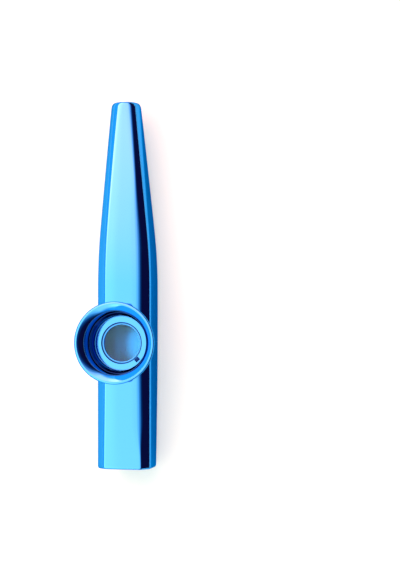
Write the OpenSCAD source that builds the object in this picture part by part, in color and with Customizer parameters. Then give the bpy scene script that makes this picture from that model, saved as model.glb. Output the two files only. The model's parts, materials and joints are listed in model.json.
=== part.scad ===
// Metal kazoo: a tapered tube that is hummed into at its wide end, with a screw cap turret
// on top that holds a vibrating membrane. Y runs along the tube, towards the narrow end.

/* [Body] */
// Length of the body, from the mouth end to the narrow end
body_len = 120; // [100:1:150]
// Width of the body along its parallel part
body_w = 18; // [17:0.5:21]
// Height of the body at its shoulder
body_h = 17; // [15:0.5:20]
// Leg of the 45 degree bevels along the parallel part
bevel = 3.3; // [2:0.1:3.8]
// Leg of the bevels at the mouth end
mouth_bevel = 2.8; // [1.5:0.1:3.5]
// How late the bevels grow along the taper, where 1 is as early as the section
bevel_onset = 1.4; // [1:0.1:1.8]
// Rounding of the long edges along the parallel part
edge_r = 1.6; // [1.2:0.1:2]
// Thickness of the metal
wall = 1; // [0.6:0.1:1.1]
// Outer diameter of the round narrow end
outlet_d = 9.3; // [8:0.1:12]
// Length of the taper, if it ran straight into the parallel part
taper_len = 51; // [40:0.5:60]
// Length of the soft bend between the taper and the parallel part
shoulder_len = 20; // [4:1:30]
// How far the top line falls towards the narrow end
outlet_drop = 1.5; // [0:0.1:2.5]
// How far the underside rises towards the mouth end
mouth_rise = 2.8; // [0:0.1:4]
// Length of the rising part of the underside
mouth_rise_len = 43; // [25:1:50]
// How far the top line falls towards the mouth end
mouth_fall = 0.4; // [0:0.1:1]
// How far back the outside of the narrow end is rounded
outlet_lip_len = 1.5; // [0.5:0.1:3]
// How far back the outside of the mouth end is rounded
mouth_lip_len = 0.8; // [0.4:0.1:3]
// Part of the wall that the outside rounding takes at both ends
lip_share = 0.75; // [0.5:0.05:0.85]

/* [Turret] */
// Distance from the mouth end to the turret's axis
turret_from_mouth = 41.2; // [36:0.1:48]
// Outer radius of the collar
collar_r = 10.6; // [10.5:0.1:11]
// Radius of the collar's bore
collar_bore_r = 9.75; // [9.6:0.01:9.8]
// Height of the collar above the body's top
collar_stand = 2.8; // [2:0.1:4]
// Depth of the membrane's seat below the body's top
seat_depth = 1; // [0.7:0.1:1.4]
// Thickness of the collar's floor
seat_floor = 2.2; // [1.6:0.1:2.6]
// Radius of the sound hole under the membrane
sound_hole_r = 6.7; // [5:0.1:7.5]
// Rounding under the collar's outer edge
collar_edge_r = 0.9; // [0.3:0.1:1.1]

/* [Membrane] */
// Outer radius of the paper ring
paper_r = 8.8; // [8.5:0.1:9.3]
// Width of the paper ring
paper_w = 2.15; // [1.5:0.05:2.5]
// Thickness of the paper ring
paper_t = 0.2; // [0.1:0.05:0.3]
// Radius of the film
film_r = 8.2; // [7.6:0.1:8.4]
// Thickness of the film
film_t = 0.06; // [0.04:0.01:0.1]

/* [Clamp ring] */
// Outer radius of the clamp ring
clamp_r = 9.55; // [9.3:0.01:9.58]
// Radius of the clamp ring's opening
clamp_hole_r = 6; // [5:0.1:6]
// Thickness of the clamp ring at its flat
clamp_t = 0.94; // [0.6:0.02:1.2]
// Width of the lower inner lip
clamp_lip_w = 0.62; // [0.4:0.02:0.64]
// How far the inner lip lies below the flat
clamp_lip_drop = 0.4; // [0.1:0.05:0.5]
// Width of the slope between the flat and the lip
clamp_step_w = 0.2; // [0.1:0.02:0.22]
// Rounding of the clamp ring's outer upper edge
clamp_edge_r = 0.25; // [0.1:0.05:0.4]
// Distance from the axis to the near end of the notch
notch_from_r = 6.85; // [6.85:0.05:7.4]
// Length of the notch, outwards
notch_len = 1.25; // [0.6:0.05:1.6]
// Width of the notch
notch_w = 1.6; // [0.6:0.1:2]
// Depth of the notch
notch_depth = 0.5; // [0.2:0.05:0.6]
// Direction of the notch, seen from above
notch_angle = -45.5; // [-180:0.5:180]

/* [Cap] */
// Radius of the cap's rim
rim_r = 13.15; // [12.6:0.05:15]
// Height of the rim above the body's top
rim_stand = 10; // [8.5:0.1:13]
// Rounding of the rim's outer edge
rim_edge_r = 0.65; // [0.5:0.05:0.9]
// How far the rim's rounding turns, from its side up to the crest
rim_turn = 80; // [60:5:85]
// Width of the flat crest between the rim's rounding and the funnel
crest_w = 0.34; // [0.1:0.02:0.4]
// Slope of the funnel at the crest
funnel_slope = 33; // [25:1:40]
// Slope of the funnel at its foot
funnel_end_slope = 43; // [35:1:48]
// Where the funnel's foot lies, as a share of the way from the crest in to the spigot's inside
funnel_foot_share = 0.588; // [0.47:0.002:0.6]
// Width of the narrow ledge between the funnel and the throat
throat_ledge_w = 0.15; // [0.1:0.05:0.3]
// Where the throat's foot lies, as a share of the same way
neck_share = 0.74; // [0.71:0.002:0.846]
// Height of the throat's foot above the cap's shoulder
neck_stand = 0.9; // [0.7:0.1:1.5]
// Slope of the cone from the throat's foot down into the spigot
neck_slope = 45; // [35:1:45]
// Inner radius of the screw spigot
spigot_in_r = 9; // [8.8:0.05:9.1]
// Running clearance of the spigot in the collar, on the radius
spigot_clear = 0.07; // [0.03:0.01:0.1]
// Outer radius of the cap above the collar
cap_base_r = 11; // [10.8:0.1:11.6]
// Height of the plain band below the flare
cap_band_h = 0.9; // [0.5:0.1:1.4]
// Gap between the collar's top and the cap's shoulder
shoulder_gap = 0.15; // [0.1:0.05:0.3]

/* [Smoothness] */
// Steps in each rounded long edge
edge_steps = 5; // [3:1:6]
// Steps in each rounded lip
lip_steps = 4; // [2:1:5]
// Steps in the funnel
funnel_steps = 6; // [3:1:8]
// Facets of the circles in the preview
round_fn = 96; // [48:8:160]

/* [Hidden] */
$fn = round_fn;

metal_blue = [0.26, 0.72, 0.95];
paper_white = [0.93, 0.93, 0.9];
film_grey = [0.72, 0.8, 0.86, 0.6];

mouth_y = -body_len / 2;
turret_y = mouth_y + turret_from_mouth;
outlet_z = body_h - outlet_drop - outlet_d / 2;

// Part of the narrow end's outline that stays flat, so that no two of its points meet
outlet_flat_share = 0.02;
// Where the rings of the taper lie, as shares of its straight run
taper_shares = [0, 0.2, 0.4, 0.6, 0.8];
// Where the rings of the soft bend lie, as shares of its length
bend_shares = [0, 0.15, 0.3, 0.45, 0.6, 0.8, 1];
// Where the rings of the rising underside lie, as shares of its length
rise_shares = [0, 0.12, 0.26, 0.4, 0.55, 0.7, 0.85, 1];

lip_out = wall * lip_share;
lip_in = wall - lip_out;
bevel_core_share = 2 - sqrt(2);
// How softly the flattening towards the mouth end sets in, where 1 is a straight slope
mouth_power = 1.5;
cut_over = 2;

// Heights of the turret, upwards from the seat of the membrane
seat_z = body_h - seat_depth;
collar_base_z = seat_z - seat_floor;
collar_top_z = body_h + collar_stand;
paper_z = seat_z + film_t;
clamp_z = paper_z + paper_t;
clamp_top_z = clamp_z + clamp_t;
rim_z = body_h + rim_stand;
cap_shoulder_z = collar_top_z + shoulder_gap;
spigot_r = collar_bore_r - spigot_clear;
collar_slip = spigot_clear / 2;

// How much of the full section has grown at a distance along from the narrow end: a straight
// line that bends over softly into 1
function grown(along) =
    let (line = along / taper_len,
         half_bend = shoulder_len / taper_len / 2,
         near = max(half_bend - abs(line - 1), 0) / half_bend,
         bent = min(line, 1) - near * near * half_bend / 4)
    outlet_flat_share + (1 - outlet_flat_share) * bent;

// How far the mouth end's flattening has come at a distance along, with a level start
function mouth_share(along) =
    pow(max(along - body_len + mouth_rise_len, 0) / mouth_rise_len, mouth_power);

function mix(a, b, t) = a + (b - a) * t;

// The section at a distance along from the narrow end: an octagon core with a rounded skin
function section_top(along) = body_h - mouth_fall * mouth_share(along);
function section_height(along) = section_top(along) - mouth_rise * mouth_share(along);
function core_half_w(along) = (body_w / 2 - edge_r) * grown(along);
function core_half_h(along) = (section_height(along) / 2 - edge_r) * grown(along);
function core_bevel(along) =
    (mix(bevel, mouth_bevel, mouth_share(along)) - edge_r * bevel_core_share)
    * pow(grown(along), bevel_onset);
function skin_r(along) = mix(outlet_d / 2, edge_r, grown(along));
function section_z(along) =
    mix(outlet_z, section_top(along) - section_height(along) / 2, grown(along));

// Corner number k of the octagon, from the +X side upwards
function corner(along, k) =
    let (w = core_half_w(along), h = core_half_h(along), c = core_bevel(along),
         across = (k == 0 || k == 3 || k == 4 || k == 7) ? w : w - c,
         up = (k == 1 || k == 2 || k == 5 || k == 6) ? h : h - c)
    [across * ((k <= 1 || k >= 6) ? 1 : -1), up * (k <= 3 ? 1 : -1)];

// One closed ring of points round the tube, drawn in from the skin by an inset
function ring(along, inset) = [
    for (k = [0 : 7], j = [0 : edge_steps])
        let (turn = 45 * (k + j / edge_steps), at = corner(along, k),
             r = skin_r(along) - inset)
        [at.x + r * cos(turn), body_len / 2 - along, section_z(along) + at.y + r * sin(turn)]
];

// Where the rings lie along the tube, between a first and a last one
bend_from = taper_len - shoulder_len / 2;
bend_to = bend_from + shoulder_len;
rise_from = max(body_len - mouth_rise_len, bend_to + wall);
function stations(first, last) = concat(
    [for (t = taper_shares) mix(first, bend_from, t)],
    [for (t = bend_shares) mix(bend_from, bend_to, t)],
    [for (t = rise_shares) mix(rise_from, last, t)]);
outer_stations = stations(outlet_lip_len, body_len - mouth_lip_len);
inner_stations = stations(lip_in, body_len - lip_in);

// A lip's section, as [distance back from the end, inset], over a half turn from the outside
// in: a long quarter of an ellipse, then a short quarter of a circle
function lip_point(turn, reach) = turn <= 90
    ? [reach * (1 - sin(turn)), lip_out * (1 - cos(turn))]
    : [lip_in * (1 - sin(turn)), lip_out - lip_in * cos(turn)];
lip_turns = [for (i = [1 : lip_steps * 2 - 1]) 90 * i / lip_steps];

// The shell's rings run down the outside, round the mouth lip, up the inside and round the
// narrow lip, so that they close on themselves
shell_rings = concat(
    [for (s = outer_stations) ring(s, 0)],
    [for (turn = lip_turns)
        let (p = lip_point(turn, mouth_lip_len)) ring(body_len - p.x, p.y)],
    [for (i = [1 : len(inner_stations)]) ring(inner_stations[len(inner_stations) - i], wall)],
    [for (turn = lip_turns)
        let (p = lip_point(180 - turn, outlet_lip_len)) ring(p.x, p.y)]);

module ring_loft(rings) {
    count = len(rings);
    sides = len(rings[0]);
    faces = [
        for (i = [0 : count - 1], j = [0 : sides - 1])
            let (a = i * sides + j, b = i * sides + (j + 1) % sides,
                 c = ((i + 1) % count) * sides + (j + 1) % sides,
                 d = ((i + 1) % count) * sides + j)
            each [[a, c, b], [a, d, c]]
    ];
    polyhedron(points = [for (r = rings) each r], faces = faces, convexity = 6);
}

// Points of an arc round a centre, between two directions
function arc(centre, r, from, to, steps = lip_steps) = [
    for (i = [0 : steps])
        let (turn = from + (to - from) * i / steps)
        centre + r * [cos(turn), sin(turn)]
];

module at_turret(z) {
    translate([0, turret_y, z]) children();
}

module body_shell() {
    color(metal_blue) difference() {
        ring_loft(shell_rings);
        at_turret(collar_base_z) cylinder(r = collar_r + collar_slip, h = collar_top_z);
    }
}

module turret_collar() {
    height = collar_top_z - collar_base_z;
    lip = (collar_r - collar_bore_r) / 2;
    color(metal_blue) at_turret(collar_base_z) rotate_extrude() polygon(concat(
        [[sound_hole_r, 0]],
        arc([collar_r - collar_edge_r, collar_edge_r], collar_edge_r, -90, 0),
        arc([collar_r - lip, height - lip], lip, 0, 180),
        [[collar_bore_r, seat_floor], [sound_hole_r, seat_floor]]));
}

module membrane_film() {
    color(film_grey) at_turret(seat_z) cylinder(r = film_r, h = film_t);
}

module membrane_paper_ring() {
    color(paper_white) at_turret(paper_z) difference() {
        cylinder(r = paper_r, h = paper_t);
        translate([0, 0, -cut_over]) cylinder(r = paper_r - paper_w, h = paper_t + 2 * cut_over);
    }
}

module clamp_ring() {
    lip_r = clamp_hole_r + clamp_lip_w;
    lip_z = clamp_t - clamp_lip_drop;
    color(metal_blue) at_turret(clamp_z) difference() {
        rotate_extrude() polygon(concat(
            [[clamp_hole_r, 0], [clamp_r, 0]],
            arc([clamp_r - clamp_edge_r, clamp_t - clamp_edge_r], clamp_edge_r, 0, 90),
            [[lip_r + clamp_step_w, clamp_t], [lip_r, lip_z], [clamp_hole_r, lip_z]]));
        rotate(notch_angle) translate([notch_from_r, -notch_w / 2, clamp_t - notch_depth])
            cube([notch_len, notch_w, notch_depth + cut_over]);
    }
}

// The flare is a quarter of an ellipse, from the plain band out to under the rim
function flare_points(from, to, steps = 10) = [
    for (i = [0 : steps])
        let (turn = 90 * i / steps)
        [mix(from.x, to.x, 1 - cos(turn)), mix(from.y, to.y, sin(turn))]
];

// How far the funnel has fallen at a distance in from the crest: its slope steepens evenly
function funnel_drop(across, width) =
    across * tan(funnel_slope)
    + across * across / width / 2 * (tan(funnel_end_slope) - tan(funnel_slope));

module flared_cap() {
    rim_centre = [rim_r - rim_edge_r, rim_z - rim_edge_r * sin(rim_turn)];
    crest = rim_centre + rim_edge_r * [cos(rim_turn), sin(rim_turn)];
    crest_in = crest - [crest_w, 0];
    funnel_w = (crest_in.x - spigot_in_r) * funnel_foot_share;
    funnel_foot_r = crest_in.x - funnel_w;
    neck_r = mix(crest_in.x, spigot_in_r, neck_share);
    funnel_foot_z = crest.y - funnel_drop(funnel_w, funnel_w);
    flare_from = [cap_base_r, cap_shoulder_z + cap_band_h];
    neck_z = cap_shoulder_z + neck_stand;
    waist_z = neck_z - (neck_r - spigot_in_r) * tan(neck_slope);
    color(metal_blue) at_turret(0) rotate_extrude() polygon(concat(
        [[spigot_in_r, clamp_top_z], [spigot_r, clamp_top_z], [spigot_r, cap_shoulder_z],
         [cap_base_r, cap_shoulder_z]],
        flare_points(flare_from, rim_centre + [rim_edge_r, 0]),
        [for (i = [1 : lip_steps])
            let (turn = rim_turn * i / lip_steps)
            rim_centre + rim_edge_r * [cos(turn), sin(turn)]],
        [for (i = [0 : funnel_steps])
            let (across = funnel_w * i / funnel_steps)
            crest_in - [across, funnel_drop(across, funnel_w)]],
        [[funnel_foot_r - throat_ledge_w, funnel_foot_z], [neck_r, neck_z],
         [spigot_in_r, waist_z]]));
}

body_shell();
turret_collar();
membrane_film();
membrane_paper_ring();
clamp_ring();
flared_cap();
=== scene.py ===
import json
from math import radians
import bmesh
import bpy
import numpy as np
from mathutils import Matrix, Vector

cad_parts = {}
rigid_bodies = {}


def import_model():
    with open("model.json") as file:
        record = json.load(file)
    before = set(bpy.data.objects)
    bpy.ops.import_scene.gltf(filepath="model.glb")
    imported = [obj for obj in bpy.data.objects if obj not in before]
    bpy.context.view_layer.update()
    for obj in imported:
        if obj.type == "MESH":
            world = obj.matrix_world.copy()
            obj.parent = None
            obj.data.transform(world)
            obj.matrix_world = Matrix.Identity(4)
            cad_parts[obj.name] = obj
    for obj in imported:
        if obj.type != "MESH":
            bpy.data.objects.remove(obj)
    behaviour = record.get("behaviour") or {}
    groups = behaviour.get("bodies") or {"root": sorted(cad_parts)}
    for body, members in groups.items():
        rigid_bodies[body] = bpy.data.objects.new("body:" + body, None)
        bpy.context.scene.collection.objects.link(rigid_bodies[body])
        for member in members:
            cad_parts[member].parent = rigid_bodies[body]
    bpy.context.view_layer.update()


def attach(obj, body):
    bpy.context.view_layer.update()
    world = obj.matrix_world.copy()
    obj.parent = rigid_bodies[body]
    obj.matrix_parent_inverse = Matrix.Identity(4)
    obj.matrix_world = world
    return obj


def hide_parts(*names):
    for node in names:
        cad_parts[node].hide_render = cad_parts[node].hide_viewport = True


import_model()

mm = 0.001


# Mesh helpers

def gridObject(name, points, wrapRows=False, wrapColumns=True):
    """A surface through a grid of points. One quad spans row i to i+1 and column j to j+1."""
    rows, columns = points.shape[:2]
    i = np.arange(rows if wrapRows else rows - 1)[:, None]
    j = np.arange(columns if wrapColumns else columns - 1)[None, :]
    iNext, jNext = (i + 1) % rows, (j + 1) % columns
    quads = np.stack([i * columns + j, i * columns + jNext,
                      iNext * columns + jNext, iNext * columns + j], axis=-1).reshape(-1, 4)
    mesh = bpy.data.meshes.new(name)
    mesh.vertices.add(rows * columns)
    mesh.vertices.foreach_set("co", points.reshape(-1).astype(np.float32))
    mesh.loops.add(quads.size)
    mesh.loops.foreach_set("vertex_index", quads.reshape(-1).astype(np.int32))
    mesh.polygons.add(len(quads))
    mesh.polygons.foreach_set("loop_start", np.arange(0, quads.size, 4, dtype=np.int32))
    mesh.polygons.foreach_set("use_smooth", np.ones(len(quads), dtype=bool))
    mesh.update(calc_edges=True)
    mesh.validate()
    piece = bpy.data.objects.new(name, mesh)
    bpy.context.collection.objects.link(piece)
    return piece


def softStep(value, low, high):
    """0 below low and 1 above high, with level ends: three times the square of the share of the
    way between them, less twice its cube."""
    share = np.clip((value - low) / (high - low), 0, 1)
    return share * share * (3 - 2 * share)


def arc(centre, radius, start, end, steps):
    """Points on a circle round a centre, from one angle to another, in degrees."""
    turn = np.radians(np.linspace(start, end, steps + 1))
    return np.stack([centre[0] + radius * np.cos(turn), centre[1] + radius * np.sin(turn)], axis=1)


def roundedTurn(corner, before, after, radius, steps):
    """An arc that rounds a corner of a profile, tangent to the lines from before and to after. Its
    centre lies on the line that halves the corner, the radius over the sine of half the corner
    away."""
    corner, before, after = [np.array(p, dtype=float) for p in (corner, before, after)]
    back = (before - corner) / np.linalg.norm(before - corner)
    ahead = (after - corner) / np.linalg.norm(after - corner)
    half = np.arccos(np.clip(back @ ahead, -1, 1)) / 2
    centre = corner + (back + ahead) / np.linalg.norm(back + ahead) * radius / np.sin(half)
    first = corner + back * radius / np.tan(half) - centre
    last = corner + ahead * radius / np.tan(half) - centre
    share = np.linspace(0, 1, steps + 1)[:, None]
    way = first * (1 - share) + last * share
    return centre + way / np.linalg.norm(way, axis=1)[:, None] * radius


def turned(name, profile, segments, shift=None):
    """A closed profile of (radius, height) turned round the turret's axis. The profile runs up on
    its outer side. shift(radius, height, turn) may move the radius and the height of each point."""
    turn = np.linspace(0, 2 * np.pi, segments, endpoint=False)[None, :]
    radius = profile[:, 0][:, None] + 0 * turn
    height = profile[:, 1][:, None] + 0 * turn
    if shift:
        radius, height = shift(radius, height, turn)
    centre = turretSizes["axisY"]
    points = np.stack([radius * np.cos(turn), centre + radius * np.sin(turn), height], axis=-1)
    piece = gridObject(name, points, wrapRows=True)
    if profile[:, 0].min() == 0:
        weldPoles(piece)
    return piece


def weldPoles(piece):
    """Merges the points that meet on the axis."""
    work = bmesh.new()
    work.from_mesh(piece.data)
    bmesh.ops.remove_doubles(work, verts=work.verts, dist=0.001 * mm)
    work.to_mesh(piece.data)
    work.free()


def capEnds(piece):
    """Closes the open ends of a prism, and turns all of its faces outwards."""
    work = bmesh.new()
    work.from_mesh(piece.data)
    bmesh.ops.holes_fill(work, edges=[e for e in work.edges if e.is_boundary])
    bmesh.ops.recalc_face_normals(work, faces=work.faces)
    work.to_mesh(piece.data)
    work.free()


def bakeModifiers(piece):
    """Replaces the mesh by what its modifiers make of it."""
    evaluated = piece.evaluated_get(bpy.context.evaluated_depsgraph_get())
    baked = bpy.data.meshes.new_from_object(evaluated)
    piece.modifiers.clear()
    piece.data = baked


def cutAway(piece, cutter):
    """Takes the cutter's volume out of the piece."""
    cut = piece.modifiers.new("cut", "BOOLEAN")
    cut.operation = "DIFFERENCE"
    cut.solver = "EXACT"
    cut.object = cutter
    bakeModifiers(piece)
    bpy.data.objects.remove(cutter)


def markPaintedShade(piece, bands):
    """Stores at each point how much painted shade darkens it, standing in for the shade that falls
    in a recess. A band is (radius, height, reach across, reach up, depth): the full depth at that
    place of the profile, and none outside the ellipse that the two reaches span round it."""
    count = len(piece.data.vertices)
    co = np.empty(count * 3, dtype=np.float32)
    piece.data.vertices.foreach_get("co", co)
    co = co.reshape(-1, 3)
    radius = np.hypot(co[:, 0], co[:, 1] - turretSizes["axisY"])
    paintedShade = np.zeros(count)
    for bandRadius, bandHeight, reachAcross, reachUp, depth in bands:
        away = np.hypot((radius - bandRadius) / reachAcross, (co[:, 2] - bandHeight) / reachUp)
        paintedShade = np.maximum(paintedShade, depth * np.clip(1 - away, 0, 1) ** 0.5)
    mask = piece.data.attributes.new("paintedShade", "FLOAT", "POINT")
    mask.data.foreach_set("value", np.minimum(paintedShade, 1).astype(np.float32))


def finishShading(piece, sharpAngle=32):
    """Corners over the angle stay sharp, and large faces decide the normals of the rest, so that
    flats stay flat and only the roundings curve."""
    piece.data.set_sharp_from_angle(angle=radians(sharpAngle))
    weigh = piece.modifiers.new("evenShading", "WEIGHTED_NORMAL")
    weigh.mode = "FACE_AREA"
    weigh.weight = 50
    weigh.keep_sharp = True
    bakeModifiers(piece)


# Camera

cameraSizes = {
    "bodyAxisPixel": 128.1,  # where the body's axis falls across the picture
    "middlePixel": 286.4,    # where the middle of the body's length falls down the picture
    "overY": -18.8 * mm,     # where the camera stands along the body
    "pixelsPerMm": 3.012,    # at the body's axis
    "distance": 382 * mm,
    "lineOfSight": 14.5,     # degrees from upright, towards +X, at the kazoo
    "axisHeight": 8.5 * mm,
    "pictureWidth": 400, "pictureHeight": 570,
}


def makeCamera():
    """Stands the camera beside the turret's axis and turns it so that the kazoo is seen along the
    slanted line of sight, which is the camera's own tilt and the angle off its middle together.
    The lens is as long as the scale of the picture asks for at that distance."""
    s = cameraSizes
    perMetre = s["pixelsPerMm"] / mm
    focal = perMetre * s["distance"]      # in pixels
    aside = (s["pictureWidth"] / 2 - s["bodyAxisPixel"]) / perMetre
    ahead = (s["middlePixel"] - s["pictureHeight"] / 2) / perMetre - s["overY"]
    tilt = radians(s["lineOfSight"]) - np.arctan(aside / s["distance"])
    back = Vector((np.sin(tilt), 0, np.cos(tilt)))
    right = Vector((np.cos(tilt), 0, -np.sin(tilt)))
    up = back.cross(right)
    data = bpy.data.cameras.new("camera")
    data.sensor_fit = "VERTICAL"
    data.sensor_height = 36
    data.lens = focal * data.sensor_height / s["pictureHeight"]
    data.clip_start, data.clip_end = 0.01, 20
    camera = bpy.data.objects.new("camera", data)
    data.shift_y = ahead * perMetre / s["pictureHeight"]
    place = Vector((0, s["overY"], s["axisHeight"])) + right * aside + back * s["distance"]
    camera.matrix_world = Matrix((
        (right.x, up.x, back.x, place.x), (right.y, up.y, back.y, place.y),
        (right.z, up.z, back.z, place.z), (0, 0, 0, 1)))
    bpy.context.collection.objects.link(camera)
    bpy.context.scene.camera = camera
    print("camera: tilt", round(float(np.degrees(tilt)), 2), "lens", round(data.lens, 2))


makeCamera()


# Finishes

finishSizes = {
    "blue": (0.1, 0.42, 0.88, 1), "blueEdge": (0.09, 0.38, 0.58, 1),
    # the colour of painted shade, mixed in where a mesh stores shade for its recesses
    "paintedShadeBlue": (0.006, 0.014, 0.1, 1),
    "deepBlue": (0.03, 0.2, 0.62, 1), "smudgeRoughness": 0.16,
    "rippleSize": 9 * mm, "smudgeSize": 5 * mm, "pitSpacing": 1.4 * mm,
    "groovePitch": 0.11 * mm,
    "film": (0.44, 0.93, 1.0, 1), "filmRoughness": 0.4, "filmClear": 0.92, "filmIor": 1.2,
    "card": (0.86, 0.86, 0.83, 1), "cardFibre": (0.78, 0.78, 0.75, 1), "fibreSize": 0.25 * mm,
}


def addNode(tree, kind, inputs=None, **settings):
    """A node of that kind with its settings, and its inputs set or linked by name or number."""
    node = tree.nodes.new("ShaderNode" + kind)
    for key, value in settings.items():
        setattr(node, key, value)
    for key, value in (inputs or {}).items():
        if isinstance(value, bpy.types.NodeSocket):
            tree.links.new(value, node.inputs[key])
        else:
            node.inputs[key].default_value = value
    return node


def rampMask(tree, value, low, high):
    """0 below low, 1 above high, and a soft step between."""
    step = addNode(tree, "MapRange", {"Value": value, "From Min": low, "From Max": high},
                   interpolation_type="SMOOTHSTEP")
    return step.outputs["Result"]


def makeHandlingGroup():
    """Handled, polished metal: a slow ripple of the surface, faint smudges and a few tiny pits."""
    s = finishSizes
    tree = bpy.data.node_groups.new("handledMetal", "ShaderNodeTree")
    tree.interface.new_socket("Vector", in_out="INPUT", socket_type="NodeSocketVector")
    for name in ("Ripple", "Smudges", "Pits"):
        tree.interface.new_socket(name, in_out="INPUT", socket_type="NodeSocketFloat")
    for name in ("Height", "Smudge", "Pit"):
        tree.interface.new_socket(name, in_out="OUTPUT", socket_type="NodeSocketFloat")
    given, result = tree.nodes.new("NodeGroupInput"), tree.nodes.new("NodeGroupOutput")
    place = given.outputs["Vector"]
    ripple = addNode(tree, "TexNoise", {"Vector": place, "Scale": 1 / s["rippleSize"],
                                        "Detail": 1.0, "Roughness": 0.4})
    smear = addNode(tree, "TexNoise", {"Vector": place, "Scale": 1 / s["smudgeSize"],
                                       "Detail": 5.0, "Roughness": 0.62, "Distortion": 0.6})
    specks = addNode(tree, "TexVoronoi", {"Vector": place, "Scale": 1 / s["pitSpacing"]})
    chosen = addNode(tree, "TexNoise", {"Vector": place, "Scale": 0.7 / s["pitSpacing"],
                                        "Detail": 0.0})
    dot = addNode(tree, "Math", {0: 1.0, 1: rampMask(tree, specks.outputs["Distance"], 0.02, 0.06)},
                  operation="SUBTRACT")
    pit = addNode(tree, "Math", {0: dot.outputs[0],
                                 1: rampMask(tree, chosen.outputs["Fac"], 0.62, 0.66)},
                  operation="MULTIPLY")
    pitOut = addNode(tree, "Math", {0: pit.outputs[0], 1: given.outputs["Pits"]},
                     operation="MULTIPLY")
    smudgeOut = addNode(tree, "Math", {0: rampMask(tree, smear.outputs["Fac"], 0.5, 0.74),
                                       1: given.outputs["Smudges"]}, operation="MULTIPLY")
    wave = addNode(tree, "Math", {0: ripple.outputs["Fac"], 1: given.outputs["Ripple"]},
                   operation="MULTIPLY")
    height = addNode(tree, "Math", {0: wave.outputs[0], 1: pitOut.outputs[0]},
                     operation="SUBTRACT")
    tree.links.new(height.outputs[0], result.inputs["Height"])
    tree.links.new(smudgeOut.outputs[0], result.inputs["Smudge"])
    tree.links.new(pitOut.outputs[0], result.inputs["Pit"])
    return tree


handlingGroup = makeHandlingGroup()


def newFinish(name):
    """A new material, with its node tree and its one surface shader."""
    material = bpy.data.materials.new(name)
    material.use_nodes = True
    return material, material.node_tree, material.node_tree.nodes["Principled BSDF"]


def makeMetal(name, ripple, smudges, pits, roughness, grooves=0):
    """Mirror-bright blue plating, mixed towards a near-black blue by painted shade where the mesh
    stores it. Grooves are the fine rings that a lathe leaves.
    """
    s = finishSizes
    material, tree, shader = newFinish(name)
    place = addNode(tree, "TexCoord").outputs["Object"]
    marks = addNode(tree, "Group", node_tree=handlingGroup)
    tree.links.new(place, marks.inputs["Vector"])
    marks.inputs["Ripple"].default_value = ripple
    marks.inputs["Smudges"].default_value = smudges
    marks.inputs["Pits"].default_value = pits
    rough = addNode(tree, "MapRange", {"Value": marks.outputs["Smudge"], "To Min": roughness,
                                       "To Max": s["smudgeRoughness"]})
    tint = addNode(tree, "Mix", {"Factor": marks.outputs["Pit"], "A": s["blue"],
                                 "B": s["deepBlue"]}, data_type="RGBA")
    # painted shade: the stored value darkens the plating in recesses, standing in for the shade
    # that falls there
    paintedShade = addNode(tree, "Attribute", attribute_name="paintedShade")
    tint = addNode(tree, "Mix", {"Factor": paintedShade.outputs["Fac"], "A": tint.outputs["Result"],
                                 "B": s["paintedShadeBlue"]}, data_type="RGBA")
    tree.links.new(tint.outputs["Result"], shader.inputs["Base Color"])
    tree.links.new(rough.outputs["Result"], shader.inputs["Roughness"])
    height = marks.outputs["Height"]
    if grooves:
        centred = addNode(tree, "Mapping", {"Vector": place,
                                            "Location": (0, -turretSizes["axisY"], 0),
                                            "Scale": (1, 1, 0)})
        radius = addNode(tree, "VectorMath", {0: centred.outputs[0]}, operation="LENGTH")
        wave = addNode(tree, "Math", {0: radius.outputs["Value"],
                                      1: 2 * np.pi / s["groovePitch"]}, operation="MULTIPLY")
        ring = addNode(tree, "Math", {0: wave.outputs[0]}, operation="SINE")
        cut = addNode(tree, "Math", {0: ring.outputs[0], 1: grooves, 2: height},
                      operation="MULTIPLY_ADD")
        height = cut.outputs[0]
    bump = addNode(tree, "Bump", {"Height": height, "Strength": 1.0, "Distance": 0.01 * mm})
    tree.links.new(bump.outputs["Normal"], shader.inputs["Normal"])
    shader.inputs["Metallic"].default_value = 1.0
    shader.inputs["Specular Tint"].default_value = s["blueEdge"]
    return material


def makeFilm():
    """Thin frosted film, nearly clear, so that the blue plating below shows through it."""
    s = finishSizes
    material, tree, shader = newFinish("frostedFilm")
    place = addNode(tree, "TexCoord").outputs["Object"]
    haze = addNode(tree, "TexNoise", {"Vector": place, "Scale": 1 / (2.5 * mm), "Detail": 3.0})
    rough = addNode(tree, "MapRange", {"Value": haze.outputs["Fac"],
                                       "To Min": s["filmRoughness"] - 0.05,
                                       "To Max": s["filmRoughness"] + 0.05})
    grain = addNode(tree, "TexNoise", {"Vector": place, "Scale": 1 / (0.12 * mm), "Detail": 2.0})
    bump = addNode(tree, "Bump", {"Height": grain.outputs["Fac"], "Strength": 0.3,
                                  "Distance": 0.01 * mm})
    tree.links.new(rough.outputs["Result"], shader.inputs["Roughness"])
    tree.links.new(bump.outputs["Normal"], shader.inputs["Normal"])
    shader.inputs["Base Color"].default_value = s["film"]
    shader.inputs["Transmission Weight"].default_value = s["filmClear"]
    shader.inputs["IOR"].default_value = s["filmIor"]
    return material


def makeCard():
    """White card with a faint fibre."""
    s = finishSizes
    material, tree, shader = newFinish("whiteCard")
    place = addNode(tree, "TexCoord").outputs["Object"]
    fibre = addNode(tree, "TexNoise", {"Vector": place, "Scale": 1 / s["fibreSize"],
                                       "Detail": 4.0, "Distortion": 1.2})
    tone = addNode(tree, "Mix", {"Factor": fibre.outputs["Fac"], "A": s["card"],
                                 "B": s["cardFibre"]}, data_type="RGBA")
    bump = addNode(tree, "Bump", {"Height": fibre.outputs["Fac"], "Strength": 0.4,
                                  "Distance": 0.02 * mm})
    tree.links.new(tone.outputs["Result"], shader.inputs["Base Color"])
    tree.links.new(bump.outputs["Normal"], shader.inputs["Normal"])
    shader.inputs["Roughness"].default_value = 0.85
    return material


# Turret sizes that its pieces share

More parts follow.
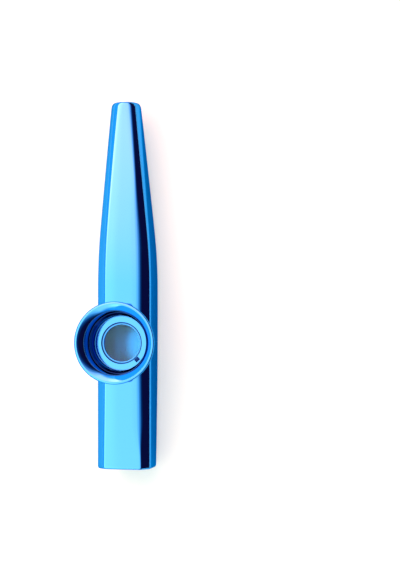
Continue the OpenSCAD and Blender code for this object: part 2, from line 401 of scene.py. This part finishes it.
turretSizes = {
    "axisY": -18.8 * mm,     # where the turret stands along the tube
    "seat": 16 * mm,         # height of the membrane's seat
    "boreRadius": 9.75 * mm, "threadClear": 0.07 * mm,
    "threadPitch": 0.9 * mm, "threadDepth": 0.24 * mm,
    "segments": 224,
}

bodyMetal = makeMetal("bodyPlating", ripple=1.2, smudges=0.5, pits=0.6, roughness=0.05)
turretMetal = makeMetal("turretPlating", ripple=0.5, smudges=0.6, pits=0.3, roughness=0.06,
                        grooves=0.02)
filmFinish = makeFilm()
cardFinish = makeCard()
print("finishes: plating, film and card")


# Body

bodySizes = {
    "length": 120 * mm, "width": 18 * mm, "height": 17 * mm,
    "bevel": 3.3 * mm, "mouthBevel": 2.8 * mm, "edge": 1.6 * mm, "wall": 1 * mm,
    "bevelOnset": 1.4,       # power of the section's growth that the bevels follow
    "outlet": 9.3 * mm, "outletDrop": 1.5 * mm,
    "taper": 51 * mm, "shoulder": 20 * mm,
    "mouthRise": 2.8 * mm, "mouthFall": 0.4 * mm, "mouthLength": 43 * mm, "mouthPower": 1.5,
    "outletLip": 1.5 * mm, "mouthLip": 0.8 * mm, "lipShare": 0.75,
    "flatShare": 0.02,       # part of the narrow end's outline that stays flat
    "softEdge": 5.2 * mm,    # how much rounder the upper right edge is polished near the turret
    "softWide": 0.7 * mm,    # and how much further it reaches into the top face
    "softFrom": 22 * mm, "softFull": 48 * mm, "softUntil": 104 * mm, "softEnd": 117 * mm,
    "topCrown": 0.1 * mm, "sideCrown": 0.08 * mm, "bevelCrown": 0.02 * mm,
    "arcSteps": 10, "lipSteps": 6, "flatSteps": 6,
    "collarRadius": 10.635 * mm, "collarBase": 13.8 * mm,
}


def bodyGrown(along):
    """Share of the full section: a straight line that bends over softly into 1."""
    s = bodySizes
    line = along / s["taper"]
    halfBend = s["shoulder"] / s["taper"] / 2
    near = np.maximum(halfBend - np.abs(line - 1), 0) / halfBend
    bent = np.minimum(line, 1) - near ** 2 * halfBend / 4
    return s["flatShare"] + (1 - s["flatShare"]) * bent


def bodyRings(along, inset):
    """Rings of the body: an octagon with 45 degree bevels, rounded by a skin that grows from the
    edge rounding at the shoulder to the whole radius of the round outlet. The bevels grow along
    the taper with a power of the section's growth. The upper right edge is rounder round the
    turret, and stays tangent to both of its flats. Each flat has a slight crown, a parabola over
    its width."""
    s = bodySizes
    along, inset = [np.asarray(v, dtype=float)[:, None, None] for v in (along, inset)]
    grown = bodyGrown(along)
    share = (np.maximum(along - s["length"] + s["mouthLength"], 0) / s["mouthLength"])
    share = share ** s["mouthPower"]
    top = s["height"] - s["mouthFall"] * share
    tall = top - s["mouthRise"] * share
    halfW = (s["width"] / 2 - s["edge"]) * grown
    halfH = (tall / 2 - s["edge"]) * grown
    leg = s["bevel"] + (s["mouthBevel"] - s["bevel"]) * share
    leg = (leg - s["edge"] * (2 - np.sqrt(2))) * grown ** s["bevelOnset"]
    skin = s["outlet"] / 2 + (s["edge"] - s["outlet"] / 2) * grown
    outletZ = s["height"] - s["outletDrop"] - s["outlet"] / 2
    middle = outletZ + (top - tall / 2 - outletZ) * grown
    k = np.arange(8)[None, :, None]
    t = np.arange(s["arcSteps"] + 1)[None, None, :] / s["arcSteps"]
    soft = softStep(along, s["softFrom"], s["softFull"])
    soft = soft * (1 - softStep(along, s["softUntil"], s["softEnd"]))
    wide, soft = soft * s["softWide"], soft * s["softEdge"] * (k == 1)
    lean = np.arctan2(leg + wide, leg) - np.pi / 4      # how far the softer bevel tips upwards
    start = np.radians(45 * k) + lean * (k == 1)
    end = np.radians(45 * (k + 1)) + lean * (k == 0)
    turn, facing = start + (end - start) * t, (start + end) / 2
    pull = soft / np.cos((end - start) / 2)
    wideCorner = np.isin(k, (0, 3, 4, 7))
    x = np.where(wideCorner, halfW, halfW - leg) * np.where(np.isin(k, (0, 1, 6, 7)), 1, -1)
    z = np.where(wideCorner, halfH - leg, halfH) * np.where(k <= 3, 1, -1)
    x = x - wide * (k == 1) - pull * np.cos(facing) + (skin + soft - inset) * np.cos(turn)
    z = middle + z - pull * np.sin(facing) + (skin + soft - inset) * np.sin(turn)
    share = np.arange(1, s["flatSteps"])[None, None, :] / s["flatSteps"]
    top, side, bevel = s["topCrown"], s["sideCrown"], s["bevelCrown"]
    crown = np.array([bevel, top, bevel, side, bevel, 0, bevel, side])[None, :, None]
    crown = crown * grown * 4 * share * (1 - share)
    flatX, flatZ = [v[:, :, -1:] * (1 - share) + np.roll(v[:, :, :1], -1, axis=1) * share
                    + crown * way for v, way in ((x, np.cos(end)), (z, np.sin(end)))]
    x, z = np.concatenate([x, flatX], axis=2), np.concatenate([z, flatZ], axis=2)
    y = s["length"] / 2 - along + 0 * x
    return np.stack([x, y, z], axis=-1).reshape(along.shape[0], -1, 3)


def bodyStations(first, last):
    """Where the rings lie along the tube, closer together where it curves."""
    s = bodySizes
    bendFrom = s["taper"] - s["shoulder"] / 2
    bendTo = bendFrom + s["shoulder"]
    riseFrom = s["length"] - s["mouthLength"]
    return np.concatenate([
        np.linspace(first, bendFrom, 16, endpoint=False),
        np.linspace(bendFrom, bendTo, 16, endpoint=False),
        np.linspace(bendTo, riseFrom, 4, endpoint=False),
        np.linspace(riseFrom, last, 26)])


def lipPoints(reach):
    """A lip from the outside in: a long quarter of an ellipse, then a short quarter of a circle,
    as distances back from the end and insets from the skin."""
    s = bodySizes
    outer, inner = s["wall"] * s["lipShare"], s["wall"] * (1 - s["lipShare"])
    turn = np.linspace(0, np.pi, 2 * s["lipSteps"] + 1)[1:-1]
    outside = turn <= np.pi / 2
    back = np.where(outside, reach, inner) * (1 - np.sin(turn))
    inset = outer - np.where(outside, outer, inner) * np.cos(turn)
    return back, inset


def makeBody():
    """The tube as one closed grid: down the outside, round the mouth lip, up the inside and round
    the outlet's lip. The collar's seat is then cut out of its top."""
    s = bodySizes
    inner = s["wall"] * (1 - s["lipShare"])
    outside = bodyStations(s["outletLip"], s["length"] - s["mouthLip"])
    inside = bodyStations(inner, s["length"] - inner)[::-1]
    mouthBack, mouthInset = lipPoints(s["mouthLip"])
    outletBack, outletInset = lipPoints(s["outletLip"])
    points = np.concatenate([
        bodyRings(outside, 0 * outside),
        bodyRings(s["length"] - mouthBack, mouthInset),
        bodyRings(inside, s["wall"] + 0 * inside),
        bodyRings(outletBack[::-1], outletInset[::-1])])
    body = gridObject("bodyShell", points, wrapRows=True)
    radius, low, high = s["collarRadius"], s["collarBase"], s["height"] * 1.5
    drill = turned("collarDrill", np.array([(0, low), (radius, low), (radius, high), (0, high)]),
                   turretSizes["segments"])
    cutAway(body, drill)
    finishShading(body)
    body.data.materials.clear()
    body.data.materials.append(bodyMetal)
    return body


bodyShell = makeBody()
print("body:", len(bodyShell.data.polygons), "faces")


# Collar

collarSizes = {
    "radius": 10.6 * mm, "base": 13.8 * mm, "top": 19.8 * mm,
    "soundHole": 6.7 * mm, "footEdge": 0.9 * mm, "holeEdge": 0.15 * mm, "arcSteps": 8,
}


def threadShift(low, high):
    """A rolled screw thread: the radius swings in by the thread's depth on a cosine of the height
    less the turn. It fades out over half a pitch at both ends, and both threads share it, so they
    stay meshed while the cap is turned and lifted by one pitch a turn."""
    s = turretSizes
    fade = s["threadPitch"] / 2

    def shift(radius, height, turn):
        phase = height / s["threadPitch"] * 2 * np.pi - turn
        ends = softStep(height, low, low + fade) * (1 - softStep(height, high - fade, high))
        onThread = np.abs(radius - s["boreRadius"]) < 2 * s["threadClear"]
        return radius - onThread * ends * s["threadDepth"] * (1 - np.cos(phase)) / 2, height
    return shift


def makeCollar():
    """Turned collar: rounded foot, full-round top, threaded bore, and a floor with the hole."""
    s, t = collarSizes, turretSizes
    lip = (s["radius"] - t["boreRadius"]) / 2
    boreTop, boreLow = s["top"] - lip, t["seat"]
    rows = int((boreTop - boreLow) / t["threadPitch"] * 12)
    bore = np.stack([np.full(rows, t["boreRadius"]), np.linspace(boreTop, boreLow, rows)], axis=1)
    profile = np.concatenate([
        [(s["soundHole"] + s["holeEdge"], s["base"])],
        arc((s["radius"] - s["footEdge"], s["base"] + s["footEdge"]), s["footEdge"],
            -90, 0, s["arcSteps"]),
        arc((s["radius"] - lip, boreTop), lip, 0, 180, 2 * s["arcSteps"])[:-1],
        bore,
        arc((s["soundHole"] + s["holeEdge"], t["seat"] - s["holeEdge"]), s["holeEdge"],
            90, 180, 4),
        arc((s["soundHole"] + s["holeEdge"], s["base"] + s["holeEdge"]), s["holeEdge"],
            180, 270, 4)[:-1]])
    collar = turned("turretCollar", profile, t["segments"],
                    threadShift(boreLow + t["threadPitch"], s["top"]))
    finishShading(collar)
    collar.data.materials.append(turretMetal)
    return collar


turretCollar = makeCollar()


# Membrane

membraneSizes = {
    "filmRadius": 8.2 * mm, "filmThick": 0.06 * mm, "sag": 0.45 * mm,
    "paperRadius": 8.8 * mm, "paperWidth": 2.15 * mm, "paperThick": 0.2 * mm,
    "paperEdge": 0.05 * mm, "creaseDepth": 0.012 * mm,
}


def makeFilmDisc():
    """The film lies flat under its paper ring and is drawn down a little inside it, as a shallow
    bowl whose depth falls off with the square of the radius, with faint radial creases."""
    s, t = membraneSizes, turretSizes
    free = s["paperRadius"] - s["paperWidth"]
    radii = np.concatenate([np.linspace(0, free, 34), np.linspace(free, s["filmRadius"], 4)[1:]])
    low = np.stack([radii, np.full(len(radii), t["seat"])], axis=1)
    high = low[::-1] + (0, s["filmThick"])

    def shift(radius, height, turn):
        share = np.clip(1 - (radius / free) ** 2, 0, 1)
        crease = np.cos(9 * turn + 1.3) + np.cos(14 * turn + 4.1) + np.cos(23 * turn)
        crease = crease * s["creaseDepth"] * share * (radius / free) ** 2
        return radius, height - s["sag"] * share + crease
    film = turned("membraneFilm", np.concatenate([low, high]), t["segments"] // 2, shift)
    finishShading(film)
    film.data.materials.append(filmFinish)
    return film


def makePaperRing():
    """A flat card ring with slightly rounded edges, on top of the film."""
    s, t = membraneSizes, turretSizes
    low = t["seat"] + s["filmThick"]
    high, edge = low + s["paperThick"], s["paperEdge"]
    inner, outer = s["paperRadius"] - s["paperWidth"], s["paperRadius"]
    profile = np.concatenate([
        arc((outer - edge, low + edge), edge, -90, 0, 3),
        arc((outer - edge, high - edge), edge, 0, 90, 3),
        arc((inner + edge, high - edge), edge, 90, 180, 3),
        arc((inner + edge, low + edge), edge, 180, 270, 3)])
    ring = turned("paperRing", profile, t["segments"] // 2)
    finishShading(ring)
    ring.data.materials.append(cardFinish)
    return ring


membraneFilm = makeFilmDisc()
paperRing = makePaperRing()


# Clamp ring

clampSizes = {
    "radius": 9.55 * mm, "hole": 6 * mm, "low": 16.26 * mm, "thick": 0.94 * mm,
    "outerEdge": 0.25 * mm, "lipWidth": 0.62 * mm, "lipDrop": 0.4 * mm,
    "lipEdge": 0.12 * mm, "stepWidth": 0.2 * mm, "beadAt": 8.8 * mm, "bead": 0.16 * mm,
    "notchFrom": 6.85 * mm, "notchLength": 1.25 * mm, "notchWidth": 1.6 * mm,
    "notchDepth": 0.5 * mm, "notchSlope": 0.35, "notchTurn": -45.5, "arcSteps": 8,
}


def makeClampRing():
    """Turned flat ring with a rounded outer edge, an outer bead, a step down to its inner lip,
    and one notch, whose floor is darkened with painted shade."""
    s, t = clampSizes, turretSizes
    low, flat = s["low"], s["low"] + s["thick"]
    lipTop, lipOut = flat - s["lipDrop"], s["hole"] + s["lipWidth"]
    profile = np.concatenate([
        [(s["hole"], low), (s["radius"], low)],
        arc((s["radius"] - s["outerEdge"], flat - s["outerEdge"]), s["outerEdge"],
            0, 90, s["arcSteps"]),
        arc((s["beadAt"], flat), s["bead"], 0, 180, s["arcSteps"]),
        np.stack([np.linspace(s["beadAt"] - 2 * s["bead"], lipOut + s["stepWidth"], 8),
                  np.full(8, flat)], axis=1),
        [(lipOut, lipTop)],
        arc((s["hole"] + s["lipEdge"], lipTop - s["lipEdge"]), s["lipEdge"],
            90, 180, s["arcSteps"])])
    ring = turned("clampRing", profile, t["segments"])
    turn = radians(s["notchTurn"])
    outward = np.array([np.cos(turn), np.sin(turn), 0])
    across = np.array([-np.sin(turn), np.cos(turn), 0])
    up = np.array([0, 0, 1])
    start = np.array([0, t["axisY"], flat - s["notchDepth"]]) + outward * s["notchFrom"]
    sides = np.array([(-1, 0), (1, 0), (1, 1), (-1, 1)])     # across, up
    inner = np.array([start + across * a * s["notchWidth"] / 2 + up * b * 2 * s["notchDepth"]
                      for a, b in sides])
    rise = up * s["notchSlope"] * s["notchLength"] / 2
    inner[:2] += rise                       # its floor falls outwards
    outer = inner + outward * s["notchLength"]
    outer[:2] -= rise
    ends = np.stack([outer, inner])
    box = gridObject("notchCutter", ends)
    capEnds(box)
    cutAway(ring, box)
    # painted shade on the notch's floor, darker than the plating round it
    notch = (s["notchFrom"] + s["notchLength"] / 2, flat - s["notchDepth"])
    markPaintedShade(ring, [(*notch, s["notchLength"], s["notchDepth"] * 0.7, 2)])
    finishShading(ring)
    ring.data.materials.clear()
    ring.data.materials.append(turretMetal)
    return ring


clampRing = makeClampRing()


# Flared cap

capSizes = {
    "rim": 13.15 * mm, "rimTop": 27 * mm, "rimEdge": 0.65 * mm, "crestTurn": 80,
    "crestWide": 0.34 * mm, "crestEdge": 0.12 * mm, "funnelSlope": 33, "funnelEnd": 43,
    "throat": 10.35 * mm, "ledge": 0.15 * mm, "throatEdge": 0.12 * mm,
    # the painted shade in the throat: its strength by the neck, and how far it reaches across and
    # up
    "neck": 9.85 * mm, "neckHeight": 20.85 * mm, "neckBead": 0.16 * mm, "throatPaintedShade": 0.95,
    "neckSlope": 45, "waistEdge": 0.15 * mm, "neckReach": 1.2 * mm, "wallReach": 7 * mm,
    "shoulder": 19.95 * mm, "shoulderEdge": 0.15 * mm,
    "spigotInside": 9 * mm, "spigotFoot": 17.2 * mm, "footEdge": 0.12 * mm,
    "base": 11 * mm, "band": 0.9 * mm, "arcSteps": 8,
}


def makeCap():
    """Turned cap: threaded spigot, plain band, a flare that is a quarter of an ellipse, a rim
    rounded on its outside with a narrow flat crest, a funnel whose slope steepens evenly, and a
    throat wall that narrows a little to a bead at the neck, with a cone and the straight inside of
    the spigot below it."""
    s, t = capSizes, turretSizes
    spigot, foot = t["boreRadius"] - t["threadClear"], s["footEdge"]
    rows = int((s["shoulder"] - s["spigotFoot"]) / t["threadPitch"] * 12)
    screw = np.stack([np.full(rows, spigot),
                      np.linspace(s["spigotFoot"] + foot, s["shoulder"], rows)], axis=1)
    rimCentre = (s["rim"] - s["rimEdge"],
                 s["rimTop"] - s["rimEdge"] * np.sin(radians(s["crestTurn"])))
    rimArc = arc(rimCentre, s["rimEdge"], 0, s["crestTurn"], 2 * s["arcSteps"])
    bandTop = s["shoulder"] + s["band"]
    turn = np.radians(np.linspace(0, 90, 25))
    flare = np.stack([s["base"] + (s["rim"] - s["base"]) * (1 - np.cos(turn)),
                      bandTop + (rimCentre[1] - bandTop) * np.sin(turn)], axis=1)
    crestEnd = rimArc[-1] - (s["crestWide"], 0)
    across = np.linspace(0, crestEnd[0] - s["throat"], 13)
    slope = np.tan(np.radians([s["funnelSlope"], s["funnelEnd"]]))
    drop = slope[0] * across + (slope[1] - slope[0]) * across ** 2 / across[-1] / 2
    funnel = np.stack([crestEnd[0] - across, s["rimTop"] - drop], axis=1)
    throat = funnel[-1]
    crest = roundedTurn(crestEnd, rimArc[-1], funnel[1], s["crestEdge"], 4)
    ledgeEnd, neck = throat - (s["ledge"], 0), np.array((s["neck"], s["neckHeight"]))
    share = np.linspace(0.1, 0.9, 7)[:, None]
    wall = ledgeEnd * (1 - share) + neck * share
    beadEnd = neck - s["neckBead"]
    cone = beadEnd[0] - s["spigotInside"]
    waist = beadEnd - (cone, cone * np.tan(radians(s["neckSlope"])))
    profile = np.concatenate([
        arc((s["spigotInside"] + foot, s["spigotFoot"] + foot), foot, 180, 270, 3),
        arc((spigot - foot, s["spigotFoot"] + foot), foot, -90, 0, 3)[:-1],
        screw,
        arc((s["base"] - s["shoulderEdge"], s["shoulder"] + s["shoulderEdge"]),
            s["shoulderEdge"], -90, 0, 4),
        flare, rimArc[1:], crest, funnel[1:],
        roundedTurn(ledgeEnd, throat, neck, s["throatEdge"], s["arcSteps"]),
        wall,
        arc((neck[0], beadEnd[1]), s["neckBead"], 90, 180, s["arcSteps"]),
        roundedTurn(waist, beadEnd, (s["spigotInside"], s["spigotFoot"]), s["waistEdge"],
                    s["arcSteps"]),
        np.stack([np.full(6, s["spigotInside"]),
                  np.linspace(waist[1] - 2 * s["waistEdge"], s["spigotFoot"] + foot, 7)[:-1]],
                 axis=1)])
    cap = turned("flaredCap", profile, t["segments"],
                 threadShift(s["spigotFoot"], s["shoulder"]))
    spigotMiddle = (s["spigotFoot"] + waist[1]) / 2
    # painted shade on the throat's ledge, on the throat wall round the neck and on the inside of
    # the spigot
    markPaintedShade(cap, [(*throat, s["ledge"], s["ledge"], 1),
                     (*neck, s["neckReach"], s["wallReach"], s["throatPaintedShade"]),
                     (s["spigotInside"], spigotMiddle, s["neckReach"], s["wallReach"], 1)])
    finishShading(cap)
    cap.data.materials.append(turretMetal)
    return cap


flaredCap = makeCap()
print("turret:", [len(p.data.polygons) for p in (turretCollar, membraneFilm, paperRing, clampRing,
                                                 flaredCap)], "faces")


# Floor and light

stageSizes = {
    "floorSize": 6, "floor": (0.25, 0.74, 0.82, 1), "floorSeen": (0.57, 0.645, 0.577, 1),
    "floorGlow": 0.4,        # what the camera sees of the floor besides its shadow
    "whiteFrom": 0.13, "whiteAt": 0.3,       # how far off the floor turns white
    "softboxHeight": 0.52, "softboxHalfLength": 2, "softboxLevel": 2.5,
    # how bright the softbox is, by the angle from overhead towards +X, seen from the kazoo
    "softboxShares": ((-48, (1.3, 1.05, 1)), (-35, (0.95, 0.95, 0.95)), (-20, (0.78, 0.78, 0.78)),
                      (-14, (0.69, 0.69, 0.69)), (18, (0.64, 0.64, 0.64)),
                      (30, (0.38, 0.48, 0.52)), (40, (0.08, 0.2, 0.28)),
                      (48, (0.005, 0.03, 0.08)), (54, (0.0, 0.01, 0.03))),
    "farTint": (2.2, 1.1, 1.1, 1), "farFrom": 0.03, "farTo": 0.18,   # paler at the narrow end
    "endFrom": 1.2, "endTint": (0.05, 0.36, 0.6, 1),     # how it weakens towards both ends
    "cardFoot": 4,           # degrees above the floor, seen from the kazoo
    "card": (0.02, 0.008, 0.045, 1), "paleCard": (0.12, 0.85, 1.4, 1),
    "ambient": 0.2,
}


def makeFloor():
    """A pale floor that the camera sees turn into the white background a little way off, so that
    no horizon shows."""
    s = stageSizes
    half = s["floorSize"] / 2
    corners = np.array([[[-half, -half, 0], [half, -half, 0]], [[-half, half, 0], [half, half, 0]]])
    floor = gridObject("floor", corners, wrapColumns=False)
    material, tree, shader = newFinish("floorPaint")
    path = addNode(tree, "LightPath")
    tone = addNode(tree, "Mix", {"Factor": path.outputs["Is Camera Ray"], "A": s["floor"],
                                 "B": s["floorSeen"]}, data_type="RGBA")
    place = addNode(tree, "TexCoord").outputs["Object"]
    away = addNode(tree, "VectorMath", {0: place}, operation="LENGTH")
    off = addNode(tree, "MapRange", {"Value": away.outputs["Value"], "From Min": s["whiteFrom"],
                                     "From Max": s["whiteAt"]}, interpolation_type="SMOOTHSTEP")
    seenOff = addNode(tree, "Math", {0: path.outputs["Is Camera Ray"], 1: off.outputs["Result"]},
                      operation="MULTIPLY")
    tone = addNode(tree, "Mix", {0: seenOff.outputs[0], 6: tone.outputs["Result"],
                                 7: (0, 0, 0, 1)}, data_type="RGBA")
    glow = addNode(tree, "MapRange", {"Value": off.outputs["Result"],
                                      "To Min": s["floorGlow"], "To Max": 1})
    glow = addNode(tree, "Math", {0: path.outputs["Is Camera Ray"], 1: glow.outputs["Result"]},
                   operation="MULTIPLY")
    tree.links.new(tone.outputs[2], shader.inputs["Base Color"])
    tree.links.new(glow.outputs[0], shader.inputs["Emission Strength"])
    shader.inputs["Emission Color"].default_value = (1, 1, 1, 1)
    shader.inputs["Roughness"].default_value = 0.9
    shader.inputs["Specular IOR Level"].default_value = 0.1
    floor.data.materials.append(material)


def makeSoftbox():
    """A flat light overhead that fades out towards +X and grows bluer towards both ends, where
    it bends down to the floor, with a dark card that hangs from its dim edge and a pale blue one
    from its bright edge. None of them shows to the camera."""
    s = stageSizes
    high, half = s["softboxHeight"], s["softboxHalfLength"]
    angles, shares = zip(*s["softboxShares"])
    across = high * np.tan(np.radians(angles))
    left, right = across[0], across[-1]
    foot = right * np.tan(radians(s["cardFoot"]))
    section = [(-half, foot), (-half, high), (half, high), (half, foot)]
    corners = np.array([[(x, y, z) for y, z in section] for x in (left, right)])
    panel = gridObject("softbox", corners, wrapColumns=False)
    glow, tree, shader = newFinish("softboxGlow")
    place = addNode(tree, "SeparateXYZ", {0: addNode(tree, "TexCoord").outputs["Object"]})
    along = addNode(tree, "MapRange", {"Value": place.outputs["X"], "From Min": left,
                                       "From Max": right})
    fade = addNode(tree, "ValToRGB", {"Fac": along.outputs["Result"]})
    fade.color_ramp.interpolation = "EASE"
    stops = fade.color_ramp.elements
    for at, share in zip((across - left) / (right - left), shares):
        stop = stops[0] if at == 0 else stops[-1] if at == 1 else stops.new(at)
        stop.color = (*share, 1)
    far = addNode(tree, "MapRange", {"Value": place.outputs["Y"], "From Min": s["farFrom"],
                                     "From Max": s["farTo"]})
    out = addNode(tree, "Math", {0: place.outputs["Y"]}, operation="ABSOLUTE")
    ends = addNode(tree, "MapRange", {"Value": out.outputs[0], "From Min": s["endFrom"],
                                      "From Max": half}, interpolation_type="SMOOTHSTEP")
    colour = addNode(tree, "Mix", {0: ends.outputs["Result"], 6: fade.outputs["Color"],
                                   7: s["endTint"]}, data_type="RGBA", blend_type="MULTIPLY")
    colour = addNode(tree, "Mix", {0: far.outputs["Result"], 6: colour.outputs[2],
                                   7: s["farTint"]}, data_type="RGBA", blend_type="MULTIPLY")
    lamp = addNode(tree, "Emission", {"Color": colour.outputs[2], "Strength": s["softboxLevel"]})
    tree.links.new(lamp.outputs[0], tree.nodes["Material Output"].inputs["Surface"])
    tree.nodes.remove(shader)
    panel.data.materials.append(glow)
    pieces = [panel]
    for name, x, colour in (("darkCard", right, s["card"]), ("paleCard", left, s["paleCard"])):
        corners = np.array([[(x, y, z) for y in (-half, half)] for z in (foot, high)])
        card = gridObject(name, corners, wrapColumns=False)
        cloth, tree, shader = newFinish(name + "Cloth")
        lamp = addNode(tree, "Emission", {"Color": colour})
        tree.links.new(lamp.outputs[0], tree.nodes["Material Output"].inputs["Surface"])
        tree.nodes.remove(shader)
        card.data.materials.append(cloth)
        card.visible_diffuse = False        # seen in the plating only
        pieces.append(card)
    for piece in pieces:
        piece.visible_camera = False


def makeRoom():
    """White all round for the camera and for what the metal mirrors, and a plain fill besides."""
    s = stageSizes
    world = bpy.data.worlds.new("room")
    bpy.context.scene.world = world
    world.use_nodes = True
    tree = world.node_tree
    path = addNode(tree, "LightPath")
    seen = addNode(tree, "Math", {0: path.outputs["Is Camera Ray"],
                                  1: path.outputs["Is Glossy Ray"]}, operation="MAXIMUM")
    seen = addNode(tree, "Math", {0: seen.outputs[0], 1: path.outputs["Is Transmission Ray"]},
                   operation="MAXIMUM")
    strength = addNode(tree, "MapRange", {"Value": seen.outputs[0], "To Min": s["ambient"],
                                          "To Max": 1.0})
    tree.links.new(strength.outputs[0], tree.nodes["Background"].inputs["Strength"])
    tree.nodes["Background"].inputs["Color"].default_value = (1, 1, 1, 1)
    bpy.context.scene.view_settings.view_transform = "Standard"


makeFloor()
makeSoftbox()
makeRoom()
print("stage: floor, softbox, cards and room")

standsFor = {
    bodyShell: ("kazoo", "body_shell", "body_metal"),
    turretCollar: ("kazoo", "turret_collar", "turret_metal"),
    membraneFilm: ("kazoo", "membrane_film", "film"),
    paperRing: ("kazoo", "membrane_paper_ring", "paper"),
    clampRing: ("ring", "clamp_ring", "turret_metal"),
    flaredCap: ("cap", "flared_cap", "turret_metal"),
}
for piece, (body, node, slot) in standsFor.items():
    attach(piece, body)
    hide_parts(node)
